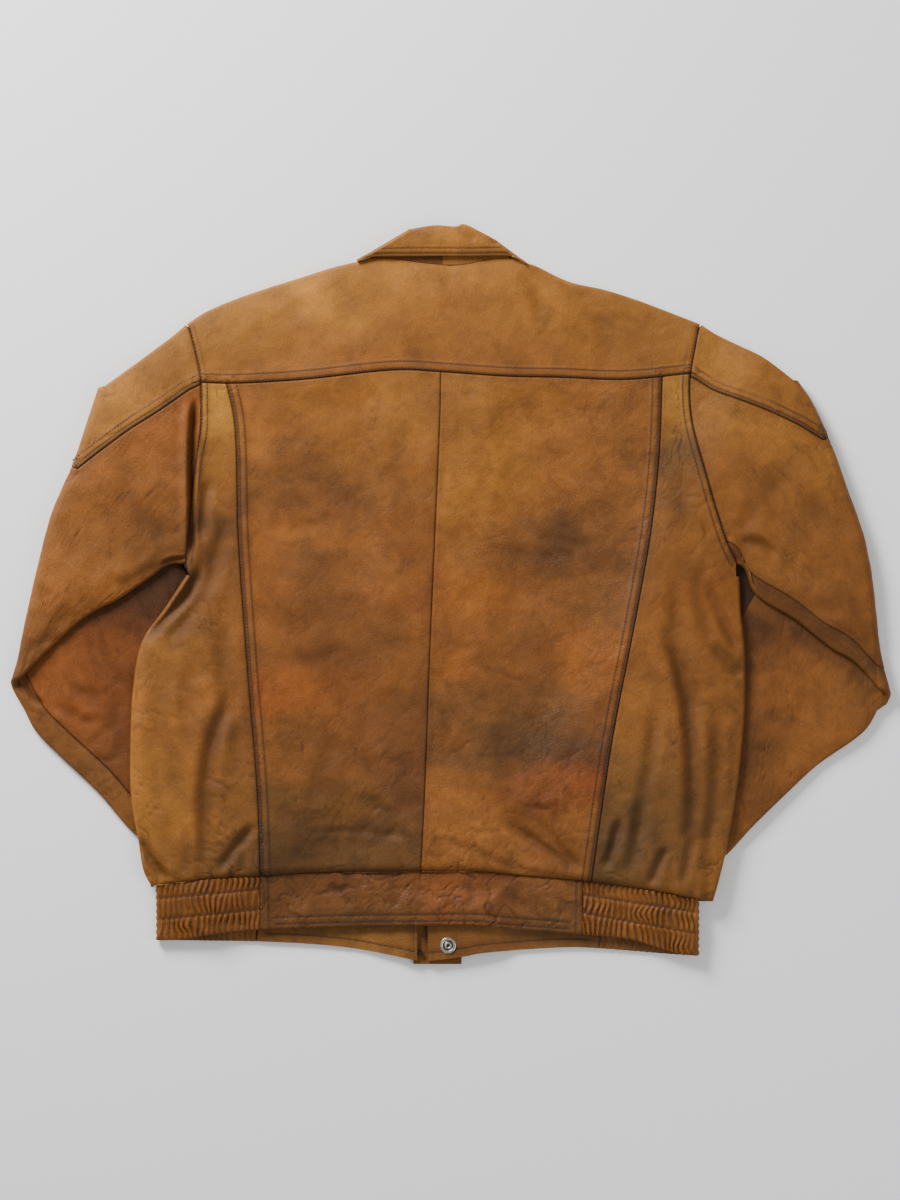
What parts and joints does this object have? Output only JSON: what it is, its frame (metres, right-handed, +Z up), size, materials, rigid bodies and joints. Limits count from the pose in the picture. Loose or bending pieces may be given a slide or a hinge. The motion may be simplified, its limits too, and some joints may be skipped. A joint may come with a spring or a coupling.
{
  "type": "worn leather blouson jacket, laid face down",
  "caption": "Worn tan leather blouson laid face down and flat, back up, with both sleeves folded under and a gathered hem band.",
  "frame": {"origin": "centre of the bounding box in plan, on the surface it lies on", "axes": "+Y from hem to collar, +X towards the wearer's right sleeve, +Z up off the surface, out of the jacket's back"},
  "size_m": [0.8769, 0.7386, 0.0144],
  "materials": {
    "leather_tan": "worn, golden tan, matt with a soft sheen",
    "leather_panel": "worn brown tan with dark smudges",
    "leather_dark": "worn, dark red-brown, glossy",
    "leather_band": "worn reddish brown with creases",
    "tape": "dark woven zip tape",
    "brass": "tarnished",
    "black_metal": "blackened zip box",
    "snap_metal": "worn ring snap",
    "thread": "dark brown topstitching thread"
  },
  "bodies": {
    "root": {"yoke_back": "leather_tan", "back_side_left": "leather_tan", "back_side_right": "leather_tan", "collar_fall": "leather_tan", "collar_stand_right": "leather_tan", "sleeve_over_left": "leather_tan", "sleeve_over_right": "leather_tan", "back_centre_left": "leather_panel", "back_centre_right": "leather_panel", "front_left": "leather_panel", "front_right": "leather_panel", "sleeve_back_left": "leather_panel", "sleeve_front_left": "leather_panel", "sleeve_back_right": "leather_panel", "sleeve_front_right": "leather_panel", "storm_flap": "leather_panel", "collar_stand_left": "leather_dark", "cuff_left": "leather_band", "cuff_right": "leather_band", "band_back": "leather_band", "elastic_left": "leather_band", "elastic_right": "leather_band", "band_front_left": "leather_band", "band_front_right": "leather_band", "zip_tape_left": "tape", "zip_tape_right": "tape", "zip_chain": "brass", "zip_slider": "brass", "zip_pull": "brass", "zip_box": "black_metal", "snap_stud": "snap_metal", "snap_socket": "snap_metal", "snap_cap": "snap_metal"}
  },
  "joints": []
}
